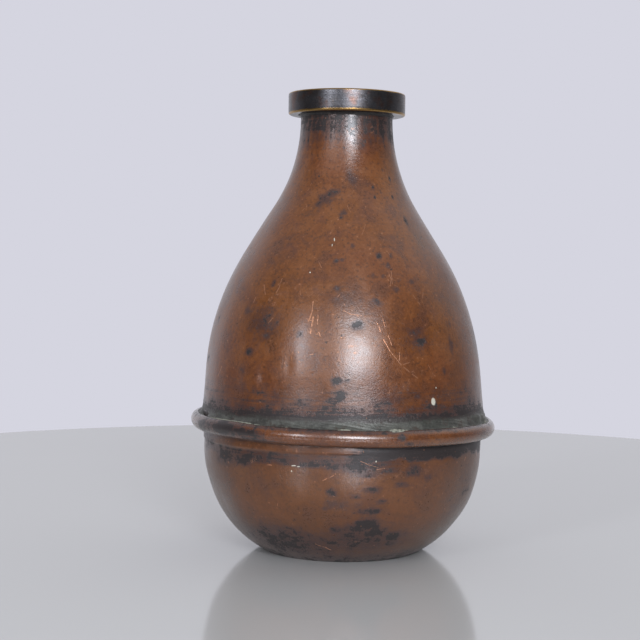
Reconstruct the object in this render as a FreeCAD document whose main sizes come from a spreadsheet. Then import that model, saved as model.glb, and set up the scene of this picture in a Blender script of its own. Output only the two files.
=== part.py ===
"""Copper water bottle: a raised body seated in the rolled gutter of a bowl, with a brass collar.

Every piece is turned about Z. Its outline is a sketch on the XZ plane: x is the radius and y is the height.
The origin is the centre of the base, on the surface that the bottle stands on. Sizes are in millimetres.
"""

import FreeCAD, Part
import Sketcher

import math
import os
import re

from FreeCAD import Vector

START, END, CENTRE = 1, 2, 3  # the points of a sketch's line or arc
BASE_LINE, AXIS_LINE = -1, -2  # a sketch's own horizontal and vertical axes
ORIGIN = (-1, START)
UP = Vector(0, 0, 1)

DIMENSIONS = [
    ("sheet_thickness", 0.9, "gauge of both copper shells"),
    # lower bowl
    ("dish_radius", 19.0, "edge of the shallow dish under the base"),
    ("dish_rise", 0.9, "height of that dish at its centre"),
    ("base_radius", 23.8, "outer edge of the flat ring the bottle stands on"),
    ("base_corner_radius", 1.2, "rounding between that ring and the bowl"),
    ("bowl_low_radius", 33.3, "arc of the bowl's lower side"),
    ("bowl_high_radius", 42.3, "arc of the bowl's upper side"),
    ("bowl_wall_radius", 43.3, "outside of the bowl where its side stands straight"),
    ("bowl_wall_height", 32.8, "height where the side becomes straight"),
    ("ledge_height", 34.9, "lower edge of the raised band under the bead"),
    ("ledge_proud", 0.3, "how far that band stands proud of the side"),
    # rolled bead
    ("bead_radius", 44.9, "centre of the rolled bead, from the bottle's axis"),
    ("bead_height", 39.9, "centre of the rolled bead, from the base"),
    ("bead_roll_radius", 2.65, "outside of the roll"),
    ("bend_radius", 0.5, "inside of the bend where the side turns out into the roll"),
    ("lip_angle", 60.0, "how far the roll's lip comes up over its own centre, in degrees"),
    # upper body
    ("seat_height", 38.4, "underside of the upper body's foot flange"),
    ("skirt_radius", 44.4, "outside of the upper body at its foot"),
    ("flange_radius", 45.7, "outer edge of the foot flange"),
    ("skirt_angle", 4.2, "lean of the belly's lowest stretch, in degrees"),
    ("belly_radius", 82.2, "arc of the belly"),
    ("shoulder_angle", 32.3, "lean of the shoulder's straight stretch, in degrees"),
    ("neck_sweep_radius", 52.2, "hollow arc between the neck and the shoulder"),
    ("neck_radius", 14.3, "outside of the neck"),
    ("neck_foot_height", 134.5, "where the neck's straight stretch starts"),
    ("neck_top_height", 138.8, "top edge of the neck, inside the collar"),
    # mouth collar
    ("collar_radius", 18.2, "outside of the brass collar"),
    ("collar_foot_height", 135.6, "underside of the collar"),
    ("collar_top_height", 142.3, "top face of the collar"),
    ("collar_chamfer", 0.45, "broken edges of the collar"),
    ("mouth_radius", 12.7, "bore of the mouth"),
    ("solder_gap", 0.1, "film of solder between the neck and the collar"),
    ("collar_fillet", 0.9, "solder fillet under the collar"),
    # waist seam
    ("seam_fillet_height", 45.3, "where the waist solder meets the belly"),
    ("seam_fillet_radius", 4.2, "hollow of the waist solder's surface"),
]
SIZE = {name: value for name, value, _ in DIMENSIONS}


def make_sheet(doc):
    """The spreadsheet of driving dimensions, one row for each."""
    sheet = doc.addObject("Spreadsheet::Sheet", "Dimensions")
    for row, (name, value, note) in enumerate(DIMENSIONS, start=1):
        sheet.set(f"A{row}", name)
        sheet.set(f"B{row}", str(value))
        sheet.set(f"C{row}", note)
        sheet.setAlias(f"B{row}", name)
    doc.recompute()
    return sheet


def polar(centre, radius, degrees):
    """The point at an angle on a circle, as (x, y)."""
    angle = math.radians(degrees)
    return centre[0] + radius * math.cos(angle), centre[1] + radius * math.sin(angle)


class Outline:
    """A sketch on its body's XZ plane: its edges, the ties between them, and sizes from the spreadsheet."""

    def __init__(self, body, name):
        self.sketch = body.newObject("Sketcher::SketchObject", name)
        plane = next(p for p in body.Origin.OriginFeatures if p.Role == "XZ_Plane")
        self.sketch.AttachmentSupport = [(plane, "")]
        self.sketch.MapMode = "FlatFace"

    def line(self, start, end, construction=False):
        segment = Part.LineSegment(Vector(*start, 0), Vector(*end, 0))
        return self.sketch.addGeometry(segment, construction)

    def arc(self, centre, radius, first, last):
        """An arc that runs anticlockwise between two angles in degrees."""
        circle = Part.Circle(Vector(*centre, 0), UP, radius)
        arc = Part.ArcOfCircle(circle, math.radians(first), math.radians(last))
        return self.sketch.addGeometry(arc, False)

    def tie(self, kind, *where):
        """A constraint that has no size, on the points or edges given."""
        self.sketch.addConstraint(Sketcher.Constraint(kind, *where))

    def size(self, kind, expression, value, *where):
        """A dimension, bound to an expression on the spreadsheet's aliases."""
        index = self.sketch.addConstraint(Sketcher.Constraint(kind, *where, value))
        self.sketch.renameConstraint(index, f"size_{index}")
        self.sketch.setExpression(f"Constraints.size_{index}", expression)

    def point(self, edge, end):
        """Where an edge's start, end or centre is, as (x, y)."""
        found = self.sketch.getPoint(edge, end)
        return found.x, found.y

    def at(self, edge, end, x=None, y=None):
        """Holds a point at the radius x and the height y, each an alias or an expression of them."""
        found_x, found_y = self.point(edge, end)
        if x is not None:
            self.size("DistanceX", on_sheet(x), found_x, *ORIGIN, edge, end)
        if y is not None:
            self.size("DistanceY", on_sheet(y), found_y, *ORIGIN, edge, end)

    def close(self, edges):
        """Joins each edge's end to the next one's start, for a ring of lines."""
        for edge, following in zip(edges, edges[1:] + edges[:1]):
            self.tie("Coincident", edge, END, following, START)


def on_sheet(expression):
    """An expression whose aliases are looked up in the spreadsheet."""
    def looked_up(word):
        return f"Dimensions.{word[0]}" if word[0] in SIZE else word[0]

    return re.sub(r"[a-z_]+", looked_up, expression)


def new_body(doc, label):
    body = doc.addObject("PartDesign::Body", label)
    body.Label = label
    return body


def turn(body, outline, name):
    """Turns an outline about the bottle's axis and adds it to the body."""
    feature = body.newObject("PartDesign::Revolution", name)
    feature.Profile = outline.sketch
    feature.ReferenceAxis = (outline.sketch, ["V_Axis"])
    feature.Angle = 360
    outline.sketch.Visibility = False
    body.Document.recompute()
    return feature


def hollow(body, solid, open_heights):
    """Thins a turned solid inwards to the sheet's gauge, and opens its flat faces at the given heights."""
    faces = [
        f"Face{n}"
        for n, face in enumerate(solid.Shape.Faces, start=1)
        for height in open_heights
        if isinstance(face.Surface, Part.Plane) and abs(face.CenterOfMass.z - height) < 1e-6
    ]
    shell = body.newObject("PartDesign::Thickness", solid.Name + "_shell")
    shell.Base = (solid, faces)
    shell.setExpression("Value", on_sheet("sheet_thickness"))
    shell.Reversed = True
    body.Document.recompute()
    return shell


def make_upper_body(doc):
    """Neck, shoulder and belly in one raised sheet, with a foot flange turned out at its lower edge."""
    body = new_body(doc, "upper_body")
    outline = Outline(body, "upper_outline")
    top, seat = SIZE["neck_top_height"], SIZE["seat_height"]
    neck, foot = SIZE["neck_radius"], SIZE["neck_foot_height"]
    sweep, belly = SIZE["neck_sweep_radius"], SIZE["belly_radius"]
    shoulder, skirt = SIZE["shoulder_angle"], SIZE["skirt_angle"]

    sweep_centre = (neck + sweep, foot)
    sweep_end = polar(sweep_centre, sweep, 180 + shoulder)
    shoulder_length = 15.7  # only where the line is first drawn: the sketch's ties settle its length
    belly_start = polar(sweep_end, shoulder_length, shoulder - 90)
    belly_centre = polar(belly_start, belly, 180 + shoulder)
    belly_end = polar(belly_centre, belly, skirt)
    foot_point = (SIZE["skirt_radius"], seat)

    mouth_line = outline.line((0, top), (neck, top))
    neck_line = outline.line((neck, top), (neck, foot))
    sweep_arc = outline.arc(sweep_centre, sweep, 180, 180 + shoulder)
    shoulder_line = outline.line(sweep_end, belly_start)
    belly_arc = outline.arc(belly_centre, belly, skirt, shoulder)
    skirt_line = outline.line(belly_end, foot_point)
    seat_line = outline.line(foot_point, (0, seat))
    axis_line = outline.line((0, seat), (0, top))

    outline.tie("Coincident", mouth_line, END, neck_line, START)
    outline.tie("Tangent", neck_line, END, sweep_arc, START)
    outline.tie("Tangent", sweep_arc, END, shoulder_line, START)
    outline.tie("Tangent", shoulder_line, END, belly_arc, END)
    outline.tie("Tangent", belly_arc, START, skirt_line, START)
    outline.tie("Coincident", skirt_line, END, seat_line, START)
    outline.tie("Coincident", seat_line, END, axis_line, START)
    outline.tie("Coincident", axis_line, END, mouth_line, START)
    outline.tie("Horizontal", mouth_line)
    outline.tie("Vertical", neck_line)
    outline.tie("Horizontal", seat_line)
    outline.tie("PointOnObject", axis_line, START, AXIS_LINE)
    outline.tie("PointOnObject", axis_line, END, AXIS_LINE)
    outline.at(neck_line, START, "neck_radius", "neck_top_height")
    outline.at(neck_line, END, y="neck_foot_height")
    outline.at(skirt_line, END, "skirt_radius", "seat_height")
    outline.size("Radius", on_sheet("neck_sweep_radius"), sweep, sweep_arc)
    outline.size("Radius", on_sheet("belly_radius"), belly, belly_arc)
    downhill = math.radians(shoulder - 90)
    outline.size("Angle", on_sheet("shoulder_angle - 90"), downhill, shoulder_line)
    outline.size("Angle", on_sheet("skirt_angle - 90"), math.radians(skirt - 90), skirt_line)
    solid = turn(body, outline, "upper_solid")
    hollow(body, solid, (top, seat))

    flange = Outline(body, "flange_outline")
    inner, outer = SIZE["skirt_radius"] - SIZE["sheet_thickness"] / 2, SIZE["flange_radius"]
    add_rectangle(
        flange,
        (inner, seat),
        (outer, seat + SIZE["sheet_thickness"]),
        ("skirt_radius - sheet_thickness / 2", "seat_height"),
        ("flange_radius", "seat_height + sheet_thickness"),
    )
    turn(body, flange, "foot_flange")
    return body


def add_rectangle(outline, low, high, low_names, high_names):
    """A rectangle between two corners, held by expressions for both."""
    corners = [low, (high[0], low[1]), high, (low[0], high[1])]
    edges = [outline.line(a, b) for a, b in zip(corners, corners[1:] + corners[:1])]
    outline.close(edges)
    for number, edge in enumerate(edges):
        outline.tie("Vertical" if number % 2 else "Horizontal", edge)
    outline.at(edges[0], START, *low_names)
    outline.at(edges[2], START, *high_names)
    return edges


def make_lower_bowl(doc):
    """Raised bowl with a dished base, whose rim turns out and rolls up into an open gutter, the bead."""
    body = new_body(doc, "lower_bowl")
    wall, bend = SIZE["bowl_wall_radius"], SIZE["bend_radius"]
    bead, bead_height = SIZE["bead_radius"], SIZE["bead_height"]
    roll, gauge = SIZE["bead_roll_radius"], SIZE["sheet_thickness"]
    bend_centre_radius = wall + bend
    bend_drop = math.sqrt((bend + roll) ** 2 - (bead - bend_centre_radius) ** 2)
    rim_height = bead_height - bend_drop
    rim_name = (
        "bead_height - sqrt((bend_radius + bead_roll_radius) ^ 2"
        " - (bead_radius - bowl_wall_radius - bend_radius) ^ 2)"
    )
    turn(body, bowl_outline(body, rim_height, rim_name), "bowl_shell")

    ledge = Outline(body, "ledge_outline")
    proud, sunk = SIZE["ledge_proud"], gauge / 2
    add_rectangle(
        ledge,
        (wall - sunk, SIZE["ledge_height"]),
        (wall + proud, rim_height),
        ("bowl_wall_radius - sheet_thickness / 2", "ledge_height"),
        ("bowl_wall_radius + ledge_proud", rim_name),
    )
    turn(body, ledge, "ledge")

    turn(body, gutter_outline(body, (bend_centre_radius, rim_height)), "rolled_gutter")
    return body


def bowl_outline(body, rim_height, rim_name):
    """Both faces of the bowl's sheet, from the dish under its base to the start of its rim.

    Each inside arc shares its centre with the outside arc, one gauge away from it.
    """
    outline = Outline(body, "bowl_outline")
    gauge = SIZE["sheet_thickness"]
    dish, rise = SIZE["dish_radius"], SIZE["dish_rise"]
    base, corner = SIZE["base_radius"], SIZE["base_corner_radius"]
    low, high = SIZE["bowl_low_radius"], SIZE["bowl_high_radius"]
    wall, wall_height = SIZE["bowl_wall_radius"], SIZE["bowl_wall_height"]
    side_angle, corner_angle = 18.0, 65.0  # where the arcs meet; the sketch's ties settle both
    dish_ball = (dish**2 + rise**2) / (2 * rise)
    dish_centre = (0, rise - dish_ball)
    outside_dish = math.degrees(math.acos(dish / dish_ball))
    inside_dish = math.degrees(math.asin((gauge - dish_centre[1]) / (dish_ball + gauge)))

    high_centre = (wall - high, wall_height)
    side_point = polar(high_centre, high, -side_angle)
    low_centre = polar(side_point, low, 180 - side_angle)
    corner_centre = (base, corner)

    def chain(depth, dish_from):
        """The dish, ring, corner, low, high and wall edges of the face at a depth into the sheet."""
        dish_edge = polar(dish_centre, dish_ball + depth, dish_from)
        return [
            outline.arc(dish_centre, dish_ball + depth, dish_from, 90),
            outline.line(dish_edge, (base, depth)),
            outline.arc(corner_centre, corner - depth, -90, -corner_angle),
            outline.arc(low_centre, low - depth, -corner_angle, -side_angle),
            outline.arc(high_centre, high - depth, -side_angle, 0),
            outline.line((wall - depth, wall_height), (wall - depth, rim_height)),
        ]

    outside = chain(0, outside_dish)
    inside = chain(gauge, inside_dish)
    rim_line = outline.line((wall, rim_height), (wall - gauge, rim_height))
    axis_line = outline.line((0, rise + gauge), (0, rise))

    dish_arc, ring_line, corner_arc, low_arc, high_arc, wall_line = outside
    outline.tie("Coincident", dish_arc, START, ring_line, START)
    outline.tie("Tangent", ring_line, END, corner_arc, START)
    outline.tie("Tangent", corner_arc, END, low_arc, START)
    outline.tie("Tangent", low_arc, END, high_arc, START)
    outline.tie("Tangent", high_arc, END, wall_line, START)
    outline.tie("Coincident", wall_line, END, rim_line, START)
    outline.tie("PointOnObject", dish_arc, CENTRE, AXIS_LINE)
    outline.tie("PointOnObject", axis_line, END, AXIS_LINE)
    outline.tie("Coincident", axis_line, END, dish_arc, END)
    outline.tie("Vertical", axis_line)
    outline.tie("Horizontal", ring_line)
    outline.tie("Vertical", wall_line)
    outline.tie("Horizontal", rim_line)
    outline.at(axis_line, END, y="dish_rise")
    outline.tie("PointOnObject", ring_line, START, BASE_LINE)
    outline.at(ring_line, START, "dish_radius")
    outline.at(ring_line, END, "base_radius")
    outline.at(wall_line, START, "bowl_wall_radius", "bowl_wall_height")
    outline.at(wall_line, END, y=rim_name)
    outline.size("Radius", on_sheet("base_corner_radius"), corner, corner_arc)
    outline.size("Radius", on_sheet("bowl_low_radius"), low, low_arc)
    outline.size("Radius", on_sheet("bowl_high_radius"), high, high_arc)

    dish_in, ring_in, corner_in, low_in, high_in, wall_in = inside
    pairs = ((dish_in, dish_arc), (corner_in, corner_arc), (low_in, low_arc), (high_in, high_arc))
    for edge, face in pairs:
        outline.tie("Coincident", edge, CENTRE, face, CENTRE)
    outline.tie("Coincident", dish_in, END, axis_line, START)
    outline.tie("Coincident", dish_in, START, ring_in, START)
    outline.tie("Coincident", ring_in, END, corner_in, START)
    outline.tie("Coincident", corner_in, END, low_in, START)
    outline.tie("Coincident", low_in, END, high_in, START)
    outline.tie("Coincident", high_in, END, wall_in, START)
    outline.tie("Coincident", wall_in, END, rim_line, END)
    outline.tie("Horizontal", ring_in)
    outline.tie("Vertical", wall_in)
    outline.tie("Vertical", corner_in, START, corner_in, CENTRE)
    outline.tie("Horizontal", high_in, END, high_in, CENTRE)
    for edge, face in ((corner_in, corner_arc), (low_in, low_arc)):
        centre, joint = outline.point(face, CENTRE), outline.point(face, END)
        ray = outline.line(centre, joint, construction=True)
        outline.tie("Coincident", ray, START, face, CENTRE)
        outline.tie("Coincident", ray, END, face, END)
        outline.tie("PointOnObject", edge, END, ray)
    gauge_name = on_sheet("sheet_thickness")
    outline.size("DistanceY", gauge_name, gauge, axis_line, END, axis_line, START)
    outline.size("DistanceY", gauge_name, gauge, ring_line, END, ring_in, END)
    return outline


def gutter_outline(body, bend_centre):
    """The rolled rim: the sheet turns out about bend_centre, then up round the bead's centre to its lip."""
    outline = Outline(body, "gutter_outline")
    bend, gauge = SIZE["bend_radius"], SIZE["sheet_thickness"]
    roll, lip = SIZE["bead_roll_radius"], SIZE["lip_angle"]
    bead_centre = (SIZE["bead_radius"], SIZE["bead_height"])
    rise = bead_centre[1] - bend_centre[1]
    turn_angle = math.degrees(math.atan2(rise, bead_centre[0] - bend_centre[0]))

    inner_bend = outline.arc(bend_centre, bend + gauge, turn_angle, 180)
    outer_bend = outline.arc(bend_centre, bend, turn_angle, 180)
    inner_roll = outline.arc(bead_centre, roll - gauge, turn_angle - 180, lip)
    outer_roll = outline.arc(bead_centre, roll, turn_angle - 180, lip)
    lip_line = outline.line(polar(bead_centre, roll - gauge, lip), polar(bead_centre, roll, lip))
    root_line = outline.line(polar(bend_centre, bend + gauge, 180), polar(bend_centre, bend, 180))
    spine = outline.line(bend_centre, bead_centre, construction=True)
    lip_ray = outline.line(bead_centre, polar(bead_centre, roll, lip), construction=True)

    outline.tie("Coincident", spine, START, inner_bend, CENTRE)
    outline.tie("Coincident", spine, START, outer_bend, CENTRE)
    outline.tie("Coincident", spine, END, inner_roll, CENTRE)
    outline.tie("Coincident", spine, END, outer_roll, CENTRE)
    outline.tie("Coincident", inner_bend, START, inner_roll, START)
    outline.tie("Coincident", outer_bend, START, outer_roll, START)
    outline.tie("PointOnObject", inner_bend, START, spine)
    outline.tie("PointOnObject", outer_bend, START, spine)
    outline.tie("Coincident", root_line, START, inner_bend, END)
    outline.tie("Coincident", root_line, END, outer_bend, END)
    outline.tie("Horizontal", root_line)
    outline.tie("PointOnObject", spine, START, root_line)
    outline.tie("Coincident", lip_line, START, inner_roll, END)
    outline.tie("Coincident", lip_line, END, outer_roll, END)
    outline.tie("Coincident", lip_ray, START, spine, END)
    outline.tie("Coincident", lip_ray, END, lip_line, END)
    outline.tie("PointOnObject", lip_line, START, lip_ray)
    outline.at(spine, END, "bead_radius", "bead_height")
    outline.at(root_line, END, "bowl_wall_radius")
    outline.size("Radius", on_sheet("bend_radius"), bend, outer_bend)
    outline.size("Radius", on_sheet("bend_radius + sheet_thickness"), bend + gauge, inner_bend)
    outline.size("Radius", on_sheet("bead_roll_radius"), roll, outer_roll)
    outline.size("Angle", on_sheet("lip_angle"), math.radians(lip), lip_ray)
    return outline


def make_seam_solder(doc, upper_body, lower_bowl):
    """Soft solder that fills the gutter outside the upper body and feathers up the belly."""
    blank = new_body(doc, "seam_solder_blank")
    outline = Outline(blank, "seam_outline")
    roll, lip, gauge = SIZE["bead_roll_radius"], SIZE["lip_angle"], SIZE["sheet_thickness"]
    bead_centre = (SIZE["bead_radius"], SIZE["bead_height"])
    middle = roll - gauge / 2
    floor = SIZE["seat_height"] + gauge / 2
    floor_angle = math.degrees(math.asin((floor - bead_centre[1]) / middle))
    lip_point = polar(bead_centre, middle, lip)
    inside = SIZE["skirt_radius"] - gauge / 2
    top_point = (inside, SIZE["seam_fillet_height"])
    hollow_radius = SIZE["seam_fillet_radius"]
    chord = (lip_point[0] - top_point[0], lip_point[1] - top_point[1])
    half = math.hypot(*chord) / 2
    reach = math.sqrt(hollow_radius**2 - half**2) / (2 * half)
    hollow_centre = (
        (lip_point[0] + top_point[0]) / 2 - chord[1] * reach,
        (lip_point[1] + top_point[1]) / 2 + chord[0] * reach,
    )

    def angle_to(point):
        degrees = math.degrees(math.atan2(point[1] - hollow_centre[1], point[0] - hollow_centre[0]))
        return degrees % 360

    roll_arc = outline.arc(bead_centre, middle, floor_angle, lip)
    hollow_arc = outline.arc(hollow_centre, hollow_radius, angle_to(top_point), angle_to(lip_point))
    inside_line = outline.line(top_point, (inside, floor))
    floor_line = outline.line((inside, floor), polar(bead_centre, middle, floor_angle))
    lip_ray = outline.line(bead_centre, lip_point, construction=True)

    outline.tie("Coincident", roll_arc, END, hollow_arc, END)
    outline.tie("Coincident", hollow_arc, START, inside_line, START)
    outline.tie("Coincident", inside_line, END, floor_line, START)
    outline.tie("Coincident", floor_line, END, roll_arc, START)
    outline.tie("Vertical", inside_line)
    outline.tie("Horizontal", floor_line)
    outline.tie("Coincident", lip_ray, START, roll_arc, CENTRE)
    outline.tie("Coincident", lip_ray, END, roll_arc, END)
    outline.at(roll_arc, CENTRE, "bead_radius", "bead_height")
    inside_name = "skirt_radius - sheet_thickness / 2"
    outline.at(inside_line, START, inside_name, "seam_fillet_height")
    outline.at(inside_line, END, y="seat_height + sheet_thickness / 2")
    outline.size("Angle", on_sheet("lip_angle"), math.radians(lip), lip_ray)
    middle_name = on_sheet("bead_roll_radius - sheet_thickness / 2")
    outline.size("Radius", middle_name, middle, roll_arc)
    outline.size("Radius", on_sheet("seam_fillet_radius"), hollow_radius, hollow_arc)
    turn(blank, outline, "seam_ring")

    trimmed = doc.addObject("Part::Cut", "seam_less_upper")
    trimmed.Base, trimmed.Tool = blank, upper_body
    solder = doc.addObject("Part::Cut", "seam_solder")
    solder.Base, solder.Tool = trimmed, lower_bowl
    solder.Label = "seam_solder"
    doc.recompute()
    return solder


def make_mouth_collar(doc):
    """Turned brass ring, counterbored from below to take the top of the neck."""
    body = new_body(doc, "mouth_collar")
    outline = Outline(body, "collar_outline")
    mouth, outer = SIZE["mouth_radius"], SIZE["collar_radius"]
    foot, top = SIZE["collar_foot_height"], SIZE["collar_top_height"]
    socket, ceiling = SIZE["neck_radius"] + SIZE["solder_gap"], SIZE["neck_top_height"]
    corners = [
        (socket, foot), (outer, foot), (outer, top), (mouth, top), (mouth, ceiling), (socket, ceiling),
    ]
    edges = [outline.line(a, b) for a, b in zip(corners, corners[1:] + corners[:1])]
    outline.close(edges)
    for number, edge in enumerate(edges):
        outline.tie("Vertical" if number % 2 else "Horizontal", edge)
    outline.at(edges[0], START, "neck_radius + solder_gap", "collar_foot_height")
    outline.at(edges[2], START, "collar_radius", "collar_top_height")
    outline.at(edges[4], START, "mouth_radius", "neck_top_height")
    ring = turn(body, outline, "collar_ring")

    broken = [
        f"Edge{n}"
        for n, edge in enumerate(ring.Shape.Edges, start=1)
        if isinstance(edge.Curve, Part.Circle)
        and (abs(edge.Curve.Radius - outer) < 1e-6 or abs(edge.Curve.Center.z - top) < 1e-6)
    ]
    chamfer = body.newObject("PartDesign::Chamfer", "broken_edges")
    chamfer.Base = (ring, broken)
    chamfer.setExpression("Size", on_sheet("collar_chamfer"))
    doc.recompute()
    return body


def make_collar_solder(doc, upper_body):
    """Film of solder between neck and collar, with the small fillet that it leaves under the collar."""
    blank = new_body(doc, "collar_solder_blank")
    outline = Outline(blank, "collar_solder_outline")
    gauge, neck = SIZE["sheet_thickness"], SIZE["neck_radius"]
    socket, fillet = neck + SIZE["solder_gap"], SIZE["collar_fillet"]
    foot, top = SIZE["collar_foot_height"], SIZE["neck_top_height"]
    inside = neck - gauge / 2

    hollow_arc = outline.arc((neck + fillet, foot - fillet), fillet, 90, 180)
    foot_line = outline.line((neck + fillet, foot), (socket, foot))
    film_line = outline.line((socket, foot), (socket, top))
    top_line = outline.line((socket, top), (inside, top))
    inside_line = outline.line((inside, top), (inside, foot - fillet))
    root_line = outline.line((inside, foot - fillet), (neck, foot - fillet))
    straight = [foot_line, film_line, top_line, inside_line, root_line]
    for edge, following in zip(straight, straight[1:]):
        outline.tie("Coincident", edge, END, following, START)
    for edge in (foot_line, top_line, root_line):
        outline.tie("Horizontal", edge)
    outline.tie("Vertical", hollow_arc, START, hollow_arc, CENTRE)
    outline.tie("Horizontal", hollow_arc, END, hollow_arc, CENTRE)
    for edge in (film_line, inside_line):
        outline.tie("Vertical", edge)
    outline.tie("Coincident", hollow_arc, START, foot_line, START)
    outline.tie("Coincident", hollow_arc, END, root_line, END)
    outline.at(film_line, START, "neck_radius + solder_gap", "collar_foot_height")
    outline.at(inside_line, START, "neck_radius - sheet_thickness / 2", "neck_top_height")
    outline.at(hollow_arc, CENTRE, "neck_radius + collar_fillet")
    outline.at(root_line, END, "neck_radius")
    turn(blank, outline, "collar_solder_ring")

    solder = doc.addObject("Part::Cut", "collar_solder")
    solder.Base, solder.Tool = blank, upper_body
    solder.Label = "collar_solder"
    doc.recompute()
    return solder


def check(doc, nodes):
    """Stops if any object failed to compute, or if a piece isn't one sound solid."""
    failed = [o.Name for o in doc.Objects if {"Invalid", "Error"} & set(o.State)]
    if failed:
        raise RuntimeError(f"failed objects: {failed}")
    for sketch in doc.findObjects("Sketcher::SketchObject"):
        if not sketch.FullyConstrained:
            print(f"{sketch.Name} is not fully constrained")
    for node in nodes:
        shape = node.Shape
        if shape.isNull() or not shape.isValid() or len(shape.Solids) != 1:
            raise RuntimeError(f"{node.Label} is not one valid solid")
        print(f"{node.Label}: {shape.Volume:.0f} mm3")


doc = FreeCAD.newDocument("water_bottle")
make_sheet(doc)
upper_body = make_upper_body(doc)
lower_bowl = make_lower_bowl(doc)
nodes = [
    upper_body,
    lower_bowl,
    make_seam_solder(doc, upper_body, lower_bowl),
    make_mouth_collar(doc),
    make_collar_solder(doc, upper_body),
]
doc.recompute()
check(doc, nodes)
os.makedirs("parts", exist_ok=True)
for node in nodes:
    node.Shape.exportStep(f"parts/{node.Label}.step")
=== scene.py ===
import math

import bpy
import numpy as np
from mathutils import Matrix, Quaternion


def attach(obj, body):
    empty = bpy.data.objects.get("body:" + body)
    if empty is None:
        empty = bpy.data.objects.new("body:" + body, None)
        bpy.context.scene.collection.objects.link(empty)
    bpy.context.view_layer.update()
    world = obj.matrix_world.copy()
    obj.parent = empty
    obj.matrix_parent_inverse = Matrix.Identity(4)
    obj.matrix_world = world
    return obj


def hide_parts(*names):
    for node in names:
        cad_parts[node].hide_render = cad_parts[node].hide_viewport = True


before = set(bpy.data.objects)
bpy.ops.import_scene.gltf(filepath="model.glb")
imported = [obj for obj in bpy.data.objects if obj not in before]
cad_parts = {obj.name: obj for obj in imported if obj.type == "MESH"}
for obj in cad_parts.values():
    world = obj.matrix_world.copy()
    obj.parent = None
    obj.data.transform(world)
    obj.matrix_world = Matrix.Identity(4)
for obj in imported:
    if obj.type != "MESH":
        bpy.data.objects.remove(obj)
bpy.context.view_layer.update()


# --- Lower bowl -------------------------------------------------------------------------------------
# Raised from copper sheet, with a shallow dish under its base. Its rim is turned out over a low ledge and
# rolled up into an open gutter, the bead that runs round the bottle's waist.

# Sizes are in millimetres, and an angle on the bottle is in degrees from its front, -Y, towards +X.
MM = 0.001
SHEET = 0.9  # gauge of the copper
BOWL_WALL = 43.3  # outer radius of the bowl under the ledge
LEDGE = 0.3  # how far the ledge stands out from the wall
LEDGE_FOOT, LEDGE_EDGE, LEDGE_END = 34.7, 35.2, 36.7  # heights where it starts, is full, and ends
CREASE = 37.25  # height of the crease under the bead
BEAD = (44.9, 39.9)  # radius and height of the rolled bead's centre
BEAD_ROLL = 2.65  # outer radius of the roll
BEAD_LIP = 60.0  # how far the lip comes up over the bead's centre
BOWL_TURNS = 360  # points round the bowl


def arc(centre, radius, first, last, count):
    """Points on a circle in the outline's plane, at even angles from first to last, in degrees."""
    angle = np.radians(np.linspace(first, last, count))
    return np.stack([centre[0] + radius * np.cos(angle), centre[1] + radius * np.sin(angle)], 1)


def run(start, end, count):
    """Points along a straight line, without its two ends."""
    share = np.linspace(0, 1, count + 2)[1:-1, None]
    return np.array(start) * (1 - share) + np.array(end) * share


def inset(outline, depth):
    """The outline moved to its left by a depth, each point square to the line through its neighbours."""
    along = np.gradient(outline, axis=0)
    along /= np.linalg.norm(along, axis=1, keepdims=True)
    return outline + depth * np.stack([-along[:, 1], along[:, 0]], 1)


def smooth(x, low, high):
    """0 at low, 1 at high, and three t squared less two t cubed between them. low may be the larger."""
    t = np.clip((x - low) / (high - low), 0, 1)
    return t * t * (3 - 2 * t)


def apart(angle, other):
    """Degrees from other to angle, the short way round."""
    return (angle - other + 180) % 360 - 180


def hill(distance, spread):
    """1 where a distance is 0, falling off as exp(-q), where q is the square of distance over spread."""
    return np.exp(-((distance / spread) ** 2))


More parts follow.
